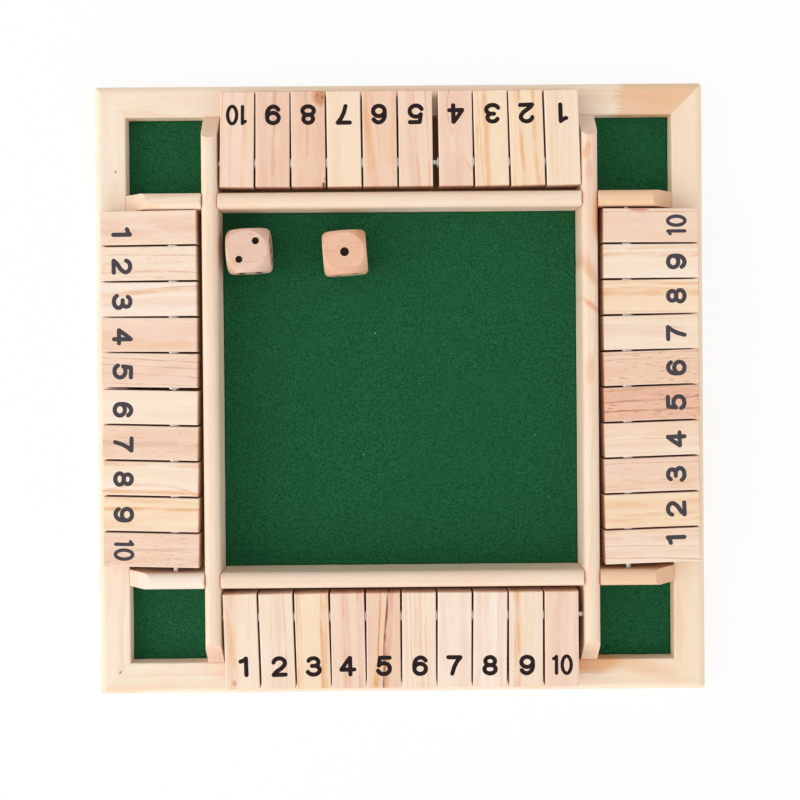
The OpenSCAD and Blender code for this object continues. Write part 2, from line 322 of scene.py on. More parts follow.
def pine(name, middle, turn, early, late, grain, bands=(), knots=(), gloss=0.62, half=0.0,
         ends=(0.3, 0.65), sides=None):
    """Sanded, unfinished pine: a dry, soft sheen with warm late-wood lines along the piece and
    greyer end grain. The grain is the group's solid wood, placed with the middle of the piece
    at its origin and, after a turn about Z, the grain along its Y. Colours are given by name,
    lengths in millimetres.

    bands run along the grain: colour, place across, width, strength, and if wanted a slope and
    a bend. knots are oval, with edges ragged along the grain: colour, place across and along,
    reach across and along, strength, and if wanted a slant and how soft the edge is. Further
    than half from the middle, a painted highlight makes the wood paler along the edge, where
    light catches it. ends are the cosines to the grain between which a face turns to end grain.
    sides is the share of their colour that faces looking across the grain keep: painted shade,
    which darkens the gaps between the pieces."""
    made, tree, shader = surface(name, Roughness=gloss, IOR=1.45)
    coordinates = add_node(tree, "ShaderNodeTexCoord").outputs
    place = add_node(tree, "ShaderNodeMapping", {
        "Vector": coordinates["Object"], "Rotation": (0, 0, turn), "Scale": (1 / MM,) * 3,
        "Location": -(Matrix.Rotation(turn, 3, "Z") @ middle) / MM}).outputs[0]
    wood = add_node(tree, "ShaderNodeGroup", node_tree=bpy.data.node_groups["Softwood grain"])
    for key, value in {"Early": shade(early), "Late": shade(late), **grain}.items():
        wood.inputs[key].default_value = value
    tree.links.new(place, wood.inputs["Place"])
    base = wood.outputs["Color"]
    across, along, _ = split(tree, wood.outputs["Wander"])
    for tint, at, width, strength, *rest in bands:
        slope, bend = filled(rest, (0.0, 0.0))
        line = math_node(tree, "MULTIPLY_ADD", along, slope, at)
        if bend:
            line = math_node(tree, "MULTIPLY_ADD", math_node(tree, "MULTIPLY", along, along),
                             bend, line)
        away = math_node(tree, "ABSOLUTE", math_node(tree, "SUBTRACT", across, line))
        band = fade(tree, away, 0.0, width * 0.9, strength, 0.0)
        base = mixed(tree, math_node(tree, "MULTIPLY", band, wood.outputs["Broken"]), base,
                     shade(tint))
    ragged = fade(tree, wood.outputs["Height"], 0.2, 0.8, -0.15, 0.15)
    beside = split(tree, place)
    for tint, x, y, wide, long, strength, *rest in knots:
        slant, soft = filled(rest, (0.0, 0.65))
        spot = place
        if slant:
            spot = add_node(tree, "ShaderNodeCombineXYZ", {
                0: math_node(tree, "MULTIPLY_ADD", beside[1], -slant,
                             math_node(tree, "ADD", beside[0], slant * y)),
                1: beside[1]}).outputs[0]
        away = vector_node(tree, "MULTIPLY", vector_node(tree, "SUBTRACT", spot, (x, y, 0)),
                           (1 / wide, 1 / long, 0))
        away = math_node(tree, "ADD", vector_node(tree, "LENGTH", away), ragged)
        base = mixed(tree, fade(tree, away, 1.1 - soft, 1.1, strength, 0.0), base, shade(tint))
    # painted highlight: the wood turns paler near each long edge, where light catches the rounded arris
    if half:
        edge = math_node(tree, "ABSOLUTE", beside[0])
        base = mixed(tree, fade(tree, edge, half, half + 0.5, 0.0, 0.5), base,
                     shade("sanded_edge"))
    # end grain drinks light: greyer and darker where a face looks along the grain
    facing = add_node(tree, "ShaderNodeMapping", {
        "Vector": coordinates["Normal"], "Rotation": (0, 0, turn)}).outputs[0]
    faces = split(tree, facing)
    base = mixed(tree, fade(tree, math_node(tree, "ABSOLUTE", faces[1]), *ends), base,
                 mixed(tree, 1.0, base, shade("end_grain"), "MULTIPLY"))
    # painted shade: faces that look across the grain are darkened, which deepens the gaps between the
    # tiles
    if sides:
        base = mixed(tree, fade(tree, math_node(tree, "ABSOLUTE", faces[0]), 0.8, 0.95), base,
                     mixed(tree, 1.0, base, shade(sides), "MULTIPLY"))
    tree.links.new(base, shader.inputs["Base Color"])
    bump = add_node(tree, "ShaderNodeBump", {
        "Height": wood.outputs["Height"], "Strength": 0.35, "Distance": 0.00012})
    tree.links.new(bump.outputs[0], shader.inputs["Normal"])
    return made


def middle_of(node):
    """The middle of a solid's box."""
    low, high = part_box(node)
    return (low + high) / 2


# Leans that a tile may have, in degrees: up to 3 either way, in steps of a hundredth
LEANS = np.linspace(-3, 3, 601)


def tile_place(node, row):
    """How a tile lies: its turn, its middle and its length. Its turn is the row's, plus the
    lean at which its mesh is narrowest across."""
    mesh = frame["nodes"][node].data
    points = np.empty(len(mesh.vertices) * 3)
    mesh.vertices.foreach_get("co", points)
    points = points.reshape(-1, 3)

    def box(turn):
        flat = points[:, :2] @ np.array([[math.cos(turn), -math.sin(turn)],
                                         [math.sin(turn), math.cos(turn)]])
        return flat.min(0), flat.max(0)

    turns = np.radians(90 * row + LEANS)
    turn = min(turns, key=lambda t: np.ptp([edge[0] for edge in box(t)]))
    low, high = box(turn)
    middle = Matrix.Rotation(turn, 3, "Z") @ Vector((*(low + high) / 2, middle_of(node).z))
    return turn, middle, high[1] - low[1]


def dress(node, material):
    """Gives a solid its material, in place of the ones it had."""
    solid = frame["nodes"][node]
    solid.data.materials.clear()
    solid.data.materials.append(material)


def grain_look(rng, spacing, contrast, depth=30.0, dashes=0.1):
    """Growth rings for one piece, as far apart as spacing, with the pith at least depth below
    its middle, both in millimetres: how the grain tilts, where the pith is, where in the noise
    the piece lies, how dark late wood is, and how much the resin canals show."""
    side = rng.uniform(-1, 1)
    return {
        "Tilt": (math.radians(rng.uniform(-1.2, 1.2)), 0, math.radians(rng.uniform(-1.0, 1.0))),
        "Pith": (side * 45, 0, -depth - rng.uniform(0, 30) * (1 - abs(side))),
        "Seed": tuple(rng.uniform(0, 400, 3)),
        "Spacing": spacing * rng.uniform(0.8, 1.25),
        "Contrast": contrast,
        "Dashes": dashes,
    }


# Turns about Z that bring the grain along a piece to Y
ALONG_X = math.radians(90)
ALONG_Y = 0.0


class Maker:
    """What the operators that dress the board share."""
    bl_options = {"REGISTER", "UNDO"}

    @property
    def sizes(self):
        return bpy.context.scene.board_sizes


# Figure in the frame and the rails, as the knots of pine(): across and along from a rail's
# middle. Two patches at the long rails' sloped ends are painted light and shade
FIGURE = {
    "frame_back": [("orange", 1, 137, 30, 27, 0.5, -0.25, 0.12), ("orange", 2, 128, 8, 12, 0.2)],
    "frame_front": [("honey", 0, 125, 16, 50, 0.6), ("orange", -6, 96, 6, 16, 0.8),
                    ("orange", -4, 120, 6, 26, 0.4, 0.25, 1.0)],
    "frame_right": [("honey", 0, 0, 60, 400, 0.6), ("orange", -6, -120, 3, 20, 0.2)],
    "frame_left": [("brown", 2.9, 109.7, 0.7, 0.9, 0.9), ("resin", 2.9, -141.2, 0.5, 0.6, 0.8),
                   ("brown", 2.9, -141.2, 1.2, 1.4, 0.5)],
    # painted shade: this tan patch darkens the front sloped end, which the lamp lights more than the
    # others
    "long_rail_left": [("tan", 0, -134, 6, 10, 0.9)],
    "long_rail_right": [
        # painted light: this first, pale patch lightens the back sloped end, which the lamp leaves
        # darker; the rest is figure
        ("pale", 0, 136, 6, 10, 0.9), ("pink", 0, 100, 5, 45, 0.3),
        ("orange", -1.5, 117, 2.2, 5.0, 0.6, 0.3), ("pink", -0.5, 107, 2.4, 6.0, 0.5),
        ("orange", 3.2, 84, 2.8, 15, 0.7), ("brown", 4.2, 84, 1.8, 12, 1.0),
        ("rust", 4.6, 83, 1.0, 8, 0.6), ("orange", -0.5, 57.5, 3.4, 10, 0.65, -0.5, 1.0),
        ("pink", -0.5, 60, 4.5, 13, 0.45, -0.5, 1.0), ("orange", 0.2, 41, 2.6, 5, 0.75, -1.1, 1.0),
        ("pink", 2.4, 39, 3.4, 4.6, 0.6, -1.1, 1.0), ("orange", -0.5, 9, 2.8, 9, 0.4)],
}
RAIL_TINTS = {"corner_rail_front_right": "golden", "corner_rail_back_right": "golden",
              "corner_rail_front_left": "pale"}
# The sloped rail ends and the round of a die stay long grain further than a plain end does:
# between these cosines to the grain they turn to end grain
RAIL_ENDS = (0.62, 0.85)
DIE_ENDS = (0.85, 0.97)


class BOARD_OT_frame(Maker, bpy.types.Operator):
    """Pine for the four mitred frame rails, with the grain along each rail"""
    bl_idname = "board.frame"
    bl_label = "Frame"

    def execute(self, context):
        rng = np.random.default_rng(SEED)
        for side in SIDES:
            node = "frame_" + side
            turn = ALONG_X if side in ("front", "back") else ALONG_Y
            look = grain_look(rng, spacing=5.5, contrast=0.32)
            dress(node, pine("Sanded pine, frame " + side, middle_of(node), turn, "frame_wood",
                             "amber", look, knots=FIGURE.get(node, ())))
        return {"FINISHED"}


class BOARD_OT_rails(Maker, bpy.types.Operator):
    """Pine for the inner rails, with the grain along each rail"""
    bl_idname = "board.rails"
    bl_label = "Inner rails"

    def execute(self, context):
        rng = np.random.default_rng(SEED + 1)
        for node in sorted(n for n in frame["nodes"] if "_rail_" in n):
            turn = ALONG_Y if node.startswith("long") else ALONG_X
            look = grain_look(rng, spacing=3.6, contrast=0.3)
            dress(node, pine("Sanded pine, " + node.replace("_", " "), middle_of(node), turn,
                             RAIL_TINTS.get(node, "rail_wood"), "amber", look,
                             knots=FIGURE.get(node, ()), ends=RAIL_ENDS))
        return {"FINISHED"}


class BOARD_OT_panel(Maker, bpy.types.Operator):
    """Plywood for the base panel"""
    bl_idname = "board.panel"
    bl_label = "Base panel"

    def execute(self, context):
        rng = np.random.default_rng(SEED + 2)
        look = grain_look(rng, spacing=9.0, contrast=0.18, depth=60.0)
        dress("base_panel", pine("Poplar plywood, base panel", middle_of("base_panel"), ALONG_X,
                                 "panel_wood", "brown", look, gloss=0.7))
        return {"FINISHED"}


# What marks out each tile's wood, as the bands and knots of pine(), in millimetres. Places
# across are from the tile's left side as its number reads, and places along are from its
# middle towards the well
BANDS = {
    "front_1": [("orange", 3.8, 5, 0.45), ("orange", 3, 3, 0.3)],
    "front_2": [("brown", 12.4, 0.7, 0.45), ("pink", 9.5, 4, 0.3), ("brown", 5.8, 0.4, 0.3)],
    "front_3": [("orange", 14.1, 2, 0.8), ("brown", 13, 0.5, 0.5), ("orange", 15.8, 1.2, 0.6),
                ("orange", 0.6, 1.4, 0.7), ("orange", 2.4, 1.2, 0.35)],
    "front_4": [("brown", 7, 0.9, 0.4), ("brown", 13.3, 0.8, 0.55), ("pink", 8.6, 2.4, 0.5),
                ("orange", 6.2, 1.6, 0.35), ("pink", 14.4, 1.4, 0.5)],
    "front_5": [("brown", 10.4, 2.6, 0.5, 0.04, 0.0009), ("pink", 13.2, 5, 0.2),
                ("rust", 9, 1.2, 0.75, 0.036, 0.0009), ("resin", 8.5, 0.8, 1, 0.036, 0.0009),
                ("orange", 5.7, 0.8, 1, 0.025), ("brown", 5.9, 0.5, 0.6, 0.025), ("pink", 2, 2, 0.35)],
    "front_6": [("brown", 5.4, 0.7, 0.35), ("orange", 10.2, 1.6, 0.35), ("pink", 7.6, 1.6, 0.35),
                ("orange", 12.9, 1, 0.35), ("brown", 2.9, 0.4, 0.3)],
    "front_7": [("pink", 4, 4, 0.2), ("pink", 13, 4, 0.2)],
    "front_8": [("brown", 12.8, 0.5, 0.35, 0.012), ("pink", 3, 4, 0.25), ("pink", 14.8, 3, 0.3)],
    "front_9": [("orange", 3.9, 2.6, 0.7), ("brown", 2.2, 0.5, 0.4), ("orange", 8, 3, 0.2)],
    "front_10": [("pink", 8, 8, 0.35), ("brown", 16.2, 0.8, 0.5)],
    "right_1": [("brown", 2.1, 0.6, 0.6, 0.04), ("brown", 8.2, 0.6, 0.4, 0.02), ("pink", 5.4, 4, 0.3),
                ("pink", 12.3, 3.6, 0.55), ("orange", 15.9, 1.6, 0.6)],
    "right_2": [("orange", 4.2, 3, 0.45), ("brown", 6.7, 0.5, 0.5), ("orange", 7.6, 1, 0.4),
                ("orange", 12, 4, 0.4), ("orange", 0.8, 1.4, 0.4)],
    "right_3": [("brown", 2, 0.5, 0.4), ("orange", 4.6, 3.4, 0.45), ("pink", 11, 6, 0.2),
                ("brown", 13.8, 0.5, 0.45), ("pink", 15.5, 2, 0.4)],
    "right_4": [("orange", 12.6, 6, 0.25), ("brown", 8.6, 0.5, 0.35), ("orange", 5.2, 3, 0.2)],
    "right_5": [("rust", 9.6, 1, 0.75, -0.04), ("rust", 4.6, 0.7, 0.8, -0.02),
                ("pink", 12.4, 5, 0.75, -0.05), ("pink", 2.2, 2.4, 0.45, -0.02),
                ("brown", 15.6, 1, 0.6, -0.03)],
    "right_6": [("brown", 14.8, 0.6, 0.5), ("brown", 11.9, 0.4, 0.5, 0.01), ("orange", 7, 8, 0.25)],
    "right_7": [("pink", 9.5, 5, 0.35, 0.04), ("brown", 11.6, 0.4, 0.3, 0.05)],
    "right_8": [("orange", 10.7, 2.8, 0.8), ("orange", 12.9, 0.8, 0.5), ("orange", 15.6, 1.2, 0.6),
                ("orange", 1, 1.6, 0.3)],
    "right_9": [("honey", 8.3, 60, 0.45), ("orange", 11.3, 2.4, 0.6), ("brown", 14.2, 0.5, 0.35),
                ("orange", 15.2, 1.6, 0.4)],
    "right_10": [("brown", 0.7, 0.8, 0.5), ("brown", 15.9, 0.6, 0.6), ("pink", 12, 5, 0.2)],
    "back_1": [("orange", 10.6, 1.8, 0.4), ("orange", 12.9, 2, 0.3), ("honey", 6, 20, 0.3)],
    "back_2": [("orange", 4, 2, 0.6, -0.05), ("orange", 11, 1.6, 0.75, -0.05),
               ("brown", 10.2, 0.4, 0.45, -0.05), ("orange", 13.8, 1.2, 0.35)],
    "back_3": [("orange", 10.6, 3.2, 0.6, -0.02), ("orange", 13.6, 0.6, 0.7, -0.04),
               ("orange", 15.3, 2, 0.5)],
    "back_4": [("rust", 8.9, 0.5, 0.5, -0.36, -0.012), ("pink", 8, 12, 0.45)],
    "back_5": [("orange", 2.9, 0.9, 0.6, 0.01), ("brown", 2.4, 0.4, 0.4, 0.01),
               ("orange", 8.1, 1.2, 0.6), ("pink", 10.3, 3, 0.4)],
    "back_6": [("orange", 13.6, 4, 0.7, -0.1), ("orange", 9.4, 1.2, 0.4, -0.1, 0.002),
               ("orange", 1, 2.4, 0.3)],
    "back_7": [("tan", 8.3, 60, 0.8), ("honey", 8.3, 60, 0.8), ("orange", 12, 5, 0.2)],
    "back_8": [("rust", 8.9, 2, 0.25), ("pink", 3, 6, 0.6), ("orange", 6.6, 0.8, 0.3),
               ("pink", 12, 4, 0.4)],
    "back_9": [("rust", 8.2, 2, 0.35), ("pink", 12.5, 6, 0.5), ("pink", 4, 6, 0.45)],
    "back_10": [("orange", 4.3, 1.6, 0.5, 0.02), ("brown", 10.9, 1.6, 0.25), ("orange", 16.2, 1.2, 0.6)],
    "left_1": [("pink", 8.4, 12, 0.5)],
    "left_2": [("brown", 4.6, 0.6, 0.45), ("brown", 13.4, 0.9, 0.4), ("orange", 9, 1.6, 0.3)],
    "left_3": [("orange", 4.6, 1.8, 0.7, -0.05), ("brown", 3.6, 0.5, 0.45, -0.05),
               ("pink", 10.5, 4, 0.25)],
    "left_4": [("pink", 8, 6, 0.25), ("orange", 14, 3, 0.3)],
    "left_5": [("rust", 3, 0.5, 0.55, 0.045), ("rust", 6.3, 0.5, 0.55, 0.045),
               ("rust", 10.2, 0.5, 0.5, 0.045), ("pink", 9, 8, 0.3), ("rust", 14.5, 0.4, 0.35, 0.02)],
    "left_6": [("honey", 8.3, 60, 0.4), ("orange", 12, 3, 0.1)],
    "left_7": [("rust", 8.8, 2.6, 0.25, 0.01), ("pink", 12, 6, 0.4), ("pink", 4, 5, 0.3)],
    "left_8": [("honey", 8.3, 60, 0.4), ("orange", 1.4, 2.4, 0.6), ("orange", 15, 2, 0.7, 0.02),
               ("orange", 11, 1.4, 0.5, 0.02, 0.008)],
    "left_9": [("orange", 5.6, 1.6, 0.8, -0.02), ("orange", 1.8, 1.8, 0.5), ("pink", 14, 3, 0.2)],
    "left_10": [("rust", 8.9, 1.6, 0.25), ("pink", 4, 5, 0.3), ("pink", 13.5, 4, 0.3)],
}
KNOTS = {
    "front_1": [("brown", 4.4, -20.4, 1.5, 1.7, 0.55)],
    "front_5": [("yellow", 4.3, -20.5, 1.3, 3.5, 0.8), ("yellow", 4.6, -15, 0.8, 4, 0.4)],
    "back_8": [("resin", 0.7, 22.6, 1.3, 1.5, 1), ("resin", 0.2, 19.6, 0.7, 1, 0.8),
               ("brown", 1.8, -20.6, 4.8, 5.2, 0.85), ("resin", 1.2, -20.4, 0.9, 1, 0.5),
               ("resin", 3.4, -21.4, 0.8, 0.8, 0.4)],
    "right_10": [("brown", 16.1, 6, 0.9, 6, 0.9)],
}
# How much the resin canals show in the tiles where they show most, and in the others
DASHED = {"right_5": 0.9, "right_6": 0.75, "left_2": 0.4, "left_7": 0.35, "left_10": 0.5,
          "right_3": 0.25, "left_5": 0.25}
FEW_DASHES = 0.06
# Width of the painted highlight along each long edge of a tile's top, in millimetres
EDGE_HIGHLIGHT_STRIP = 0.7


class BOARD_OT_tiles(Maker, bpy.types.Operator):
    """Pine for the forty flip tiles, each cut from its own place in the wood"""
    bl_idname = "board.tiles"
    bl_label = "Flip tiles"

    def execute(self, context):
        rng = np.random.default_rng(SEED + 3)
        slots = {s["node"]: s["material_slot"] for s in frame["record"]["subparts"]}
        # tile_front_5 hardly leans, so its box is about as wide as a tile
        low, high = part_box("tile_front_5")
        half = (high.x - low.x) / 2 / MM
        for row, side in enumerate(SIDES):
            for number in TILES:
                node = f"tile_{side}_{number}"
                name = node.removeprefix("tile_")
                tone = slots[node].removeprefix("tile_")
                turn, middle, _ = tile_place(node, row)
                bands = [(tint, at - half, *rest) for tint, at, *rest in BANDS[name]]
                knots = [(tint, x - half, *rest) for tint, x, *rest in KNOTS.get(name, ())]
                look = grain_look(rng, spacing=3.4, contrast=0.24,
                                  dashes=DASHED.get(name, FEW_DASHES))
                # painted highlight along each tile's edges, and painted shade on its sides
                dress(node, pine(f"Sanded pine, {tone} {side} {number}", middle, -turn, tone,
                                 "amber", look, bands, knots, half=half - EDGE_HIGHLIGHT_STRIP,
                                 sides="sawn_side"))
        return {"FINISHED"}


# --- printed numbers ---

def arc(x, y, across, up, start, end, count=18):
    """Points on an ellipse round (x, y) from one angle to another, in degrees."""
    a = np.radians(np.linspace(start, end, count))
    return np.stack([x + across * np.cos(a), y + up * np.sin(a)], -1)


def path(*parts):
    """One line through points and arcs."""
    return np.concatenate([np.atleast_2d(p) for p in parts])


# Centre lines of the strokes, in millimetres from the middle of the number, and how high the
# numbers are drawn with their stroke
DRAWN_HEIGHT = 9.9
STROKES = {
    "1": [path((0.85, -4.1), (0.85, 4.0)), path((0.75, 3.95), (-0.2, 3.15), (-1.75, 2.6))],
    "2": [path(arc(0.0, 1.75, 2.75, 2.35, 172, -28), (1.2, -0.75), (-1.5, -2.55), (-2.8, -4.1),
               (2.9, -4.1))],
    "3": [path(arc(-0.1, 2.1, 2.45, 2.0, 158, -70)), path((-0.8, 0.25), (0.3, 0.25)),
          path(arc(-0.1, -1.85, 2.95, 2.25, 72, -160))],
    "4": [path((1.0, 4.1), (-0.9, 1.6), (-3.1, -1.7), (3.1, -1.7)),
          path((1.15, 4.1), (1.15, -4.1))],
    "5": [path((2.75, 4.1), (-1.9, 4.1), (-2.45, 0.2)),
          path(arc(-0.1, -1.35, 2.95, 2.75, 142, -158))],
    "6": [path(arc(0.05, -1.55, 2.75, 2.55, 0, 360, 32)),
          path(arc(0.25, 0.2, 3.0, 3.9, 38, 182, 20), (-2.7, -1.5))],
    "7": [path((-2.9, 4.1), (2.85, 4.1), (1.2, 1.9), (-0.1, -0.8), (-1.0, -4.1))],
    "8": [path(arc(0, 2.05, 2.3, 2.05, 0, 360, 28)), path(arc(0, -1.95, 2.7, 2.15, 0, 360, 30))],
    "10": [path((-3.0, -3.95), (-3.0, 3.95)), path((-3.05, 3.9), (-3.5, 3.3), (-4.35, 2.9)),
           path(arc(1.9, 0, 2.15, 4.05, 0, 360, 40))],
}
STROKES["9"] = [-line for line in STROKES["6"]]
# How far off the middle of its tile each number was stamped; and how far each row's numbers
# are off the usual distance to the outer end, and how much more for each tile. Millimetres
ASIDE = {
    "front": (1.1, 0.7, 0.1, -0.4, 0.1, 0.4, -0.1, 0.0, 0.5, 0.3),
    "right": (3.0, 0.3, -0.2, -0.5, 0.0, -0.5, -0.7, 0.1, -0.4, 0.2),
    "back": (-0.3, -0.3, -0.9, -0.3, -0.2, 0.1, -0.1, -0.2, -0.2, 0.4),
    "left": (2.4, 1.3, 1.2, 1.0, 0.7, 1.4, 0.9, 0.4, 0.3, 0.4),
}
ROW_REACH = {"front": (-0.1, -0.05), "right": (0.5, -0.11), "back": (0.6, 0.0),
             "left": (-0.7, -0.04)}
MIDDLE_NUMBER = (TILES[0] + TILES[-1]) / 2
# Sides of the round dab at each point of a stroke, and how far its width wavers, as a share
DAB_SIDES = 14
INK_WAVER = 0.035


def stroke_outline(lines, width, rng):
    """Flat polygons that cover the strokes: a quad along each step of a line and a round dab
    at each of its points, whose width wavers by a few per cent as hot-stamped ink does."""
    points, faces = [], []
    ring = np.radians(np.arange(DAB_SIDES) * 360 / DAB_SIDES)
    for line in lines:
        half = width / 2 * (1 + rng.uniform(-INK_WAVER, INK_WAVER, len(line)))
        for (a, ra), (b, rb) in zip(zip(line[:-1], half[:-1]), zip(line[1:], half[1:])):
            side = np.array([a[1] - b[1], b[0] - a[0]]) / np.hypot(*(b - a))
            start = len(points)
            points += [a - side * ra, b - side * rb, b + side * rb, a + side * ra]
            faces.append([start, start + 1, start + 2, start + 3])
        for centre, r in zip(line, half):
            start = len(points)
            points += list(centre + r * np.stack([np.cos(ring), np.sin(ring)], -1))
            faces.append(list(range(start, start + len(ring))))
    return points, faces


def flat_slab(points, faces, thick):
    """A closed slab over the union of overlapping convex polygons, each anticlockwise: the
    plane is cut along all their edges, the triangles whose middle is inside any of them are
    kept, and the edges that only one kept triangle has become walls. Its underside is z = 0."""
    flat, _, triangles, *_ = geometry.delaunay_2d_cdt(
        [Vector(p) for p in points], [], faces, 0, 1e-5)
    flat, triangles = np.array([tuple(p) for p in flat]), np.array(triangles)
    centre = flat[triangles].mean(1)
    inside = np.zeros(len(triangles), bool)
    for face in faces:
        edge = np.array([points[i] for i in face])
        run = np.roll(edge, -1, 0) - edge
        off = centre[:, None] - edge
        inside |= (run[:, 0] * off[..., 1] - run[:, 1] * off[..., 0] > 0).all(1)
    kept = triangles[inside]
    a, b, c = (flat[kept[:, i]] for i in range(3))
    turn = (b[:, 0] - a[:, 0]) * (c[:, 1] - a[:, 1]) - (b[:, 1] - a[:, 1]) * (c[:, 0] - a[:, 0])
    kept[turn < 0] = kept[turn < 0][:, ::-1]
    edges = np.concatenate([kept[:, [0, 1]], kept[:, [1, 2]], kept[:, [2, 0]]])
    both = {tuple(e) for e in edges}
    rim = np.array([e for e in edges if (e[1], e[0]) not in both])
    count = len(flat)
    solid = np.concatenate([np.c_[flat, np.zeros(count)], np.c_[flat, np.full(count, thick)]])
    walls = np.c_[rim[:, 0], rim[:, 1], rim[:, 1] + count, rim[:, 0] + count]
    return solid, [*(kept + count).tolist(), *kept[:, ::-1].tolist(), *walls.tolist()]


def number_ink(name, tint):
    """Black stamping ink: matt, slightly broken where the grain shows through."""
    made, tree, shader = surface(name, Roughness=0.7, Specular_IOR_Level=0.12)
    grit = noise_value(tree, place_in_mm(tree), 2.2, Detail=3.0)
    tree.links.new(mixed(tree, fade(tree, grit, 0.52, 0.8, 0.0, 0.35), shade(tint),
                         shade("worn_ink")), shader.inputs["Base Color"])
    return made


class BOARD_OT_numbers(Maker, bpy.types.Operator):
    """The numbers stamped on the tiles, read from outside the board"""
    bl_idname = "board.numbers"
    bl_label = "Numbers"

    def execute(self, context):
        black = number_ink("Stamped black ink", "ink")
        thin = number_ink("Stamped black ink, thin", "thin_ink")
        rng = np.random.default_rng(SEED + 4)
        height = self.sizes.digit_height / MM
        shapes = {}
        for number in TILES:
            stroke = (self.sizes.ten_stroke if number == 10 else self.sizes.digit_stroke) / MM
            lines = STROKES[str(number)]
            tall = (height - stroke) / np.ptp(np.concatenate(lines)[:, 1])
            lines = [line * (height / DRAWN_HEIGHT, tall) for line in lines]
            outline = stroke_outline(lines, stroke, rng)
            shapes[number] = flat_slab(*outline, 1.0)
        for row, side in enumerate(SIDES):
            for number in TILES:
                node = f"tile_{side}_{number}"
                turn, middle, length = tile_place(node, row)
                off, drift = ROW_REACH[side]
                off += drift * (number - MIDDLE_NUMBER)
                reach = self.sizes.digit_reach + off * MM
                # the film stands on the wood by half its thickness and is sunk by the rest
                points, faces = shapes[number]
                points = points * (MM, MM, self.sizes.ink * 2)
                points += (ASIDE[side][number - 1] * MM, reach - length / 2, 0)
                points = points @ np.array(Matrix.Rotation(turn, 3, "Z")).T
                points += (middle.x, middle.y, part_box(node)[1].z - self.sizes.ink)
                ink = thin if side in ("left", "right") else black
                piece("number_" + node.removeprefix("tile_"), points, faces, ink, node,
                      smooth=False)
        return {"FINISHED"}


# --- felt ---

# The felt's grid, the width of the curl at its edge, in metres, and in steps of the grid the
# size of the patches in which the curl, the nap and the nap's finer part rise and fall
FELT_STEP = 0.0012
CURL_WIDTH = 0.0022
CURL_PATCH, NAP_PATCH, FINE_PATCH = 9, 6, 2


def wool_felt():
    """Green felt: pressed wool fibres. Fine light and dark flecks of fibre, a soft mottle from
    how the nap lies, a faint sheen, a few pale specks of lint and small dark pits."""
    made, tree, shader = surface("Pressed green felt", Roughness=0.95, Sheen_Weight=0.02,
                                 Sheen_Roughness=0.6, Specular_IOR_Level=0.04)
    place = place_in_mm(tree)
    # fibres lie in tufts about half a millimetre across
    tuft = noise_value(tree, place, 1.3, Detail=3.0, Roughness=0.75, Distortion=0.6)
    nap = noise_value(tree, place, 0.06, Detail=2.0)
    green = shade("felt")
    dark = vector_node(tree, "MULTIPLY", green[:3], (0.45, 0.62, 0.58))
    light = vector_node(tree, "MULTIPLY_ADD", green[:3], (1.3, 1.5, 1.4), (0.006, 0.01, 0.009))
    wool = mixed(tree, fade(tree, tuft, 0.36, 0.64), dark, light)
    wool = mixed(tree, fade(tree, nap, 0.3, 0.7, 0.0, 0.3), wool, green)
    # each cell has one speck, and only the cells of a rare colour show theirs: as lint, if the
    # red is high, or as a pit, if the green is
    cells = add_node(tree, "ShaderNodeTexVoronoi", {"Vector": place, "Scale": 0.16}).outputs
    for tint, part, rare, near, far, strength in (("lint", 0, 0.93, 0.035, 0.06, 0.7),
                                                  ("felt_pit", 1, 0.72, 0.05, 0.09, 0.6)):
        chosen = fade(tree, split(tree, cells["Color"])[part], rare, rare + 0.01)
        speck = math_node(tree, "MULTIPLY", chosen,
                          fade(tree, cells["Distance"], near, far, strength, 0.0))
        wool = mixed(tree, speck, wool, shade(tint))
    tree.links.new(wool, shader.inputs["Base Color"])
    bump = add_node(tree, "ShaderNodeBump", {"Height": tuft, "Strength": 0.6, "Distance": 0.0004})
    tree.links.new(bump.outputs[0], shader.inputs["Normal"])
    return made


def felt_sheet(name, low, high, sizes, material, rng):
    """A closed sheet of felt, pushed out against the wood round it. Its top is a grid whose
    height is the CAD felt's top, less the nap's smooth noise, plus a curl that dies away from
    the edge as the square of a falling line. Walls join the rim of the top to a flat
    underside."""
    reach = sizes.felt_reach
    left, right = low[0] - reach, high[0] + reach
    near, far = low[1] - reach, high[1] + reach
    columns, rows = (round((b - a) / FELT_STEP) + 1 for a, b in ((left, right), (near, far)))
    x, y = np.linspace(left, right, columns), np.linspace(near, far, rows)
    inset = np.minimum(np.minimum(x - left, right - x)[None, :],
                       np.minimum(y - near, far - y)[:, None])
    uneven = 1 + 0.6 * smooth_noise(rng, rows, columns, CURL_PATCH)
    curl = sizes.felt_curl * np.clip(1 - inset / CURL_WIDTH, 0, 1) ** 2 * uneven
    rough = 0.65 * smooth_noise(rng, rows, columns, NAP_PATCH)
    rough += 0.35 * smooth_noise(rng, rows, columns, FINE_PATCH)
    top = high[2] + curl - sizes.felt_nap * (1 + rough) / 2
    grid = np.stack([*np.meshgrid(x, y), top], -1).reshape(-1, 3)
    at = np.arange(rows * columns).reshape(rows, columns)
    rim = np.concatenate([at[0, :-1], at[:-1, -1], at[-1, :0:-1], at[:0:-1, 0]])
    under = grid[rim] * (1, 1, 0) + (0, 0, low[2])
    foot = len(grid) + np.arange(len(rim))
    walls = np.stack([np.roll(rim, -1), rim, foot, np.roll(foot, -1)], -1)
    faces = [*grid_faces(at).tolist(), *walls.tolist(), foot[::-1].tolist()]
    made = piece(name, np.concatenate([grid, under]), faces, material, "board")
    return made


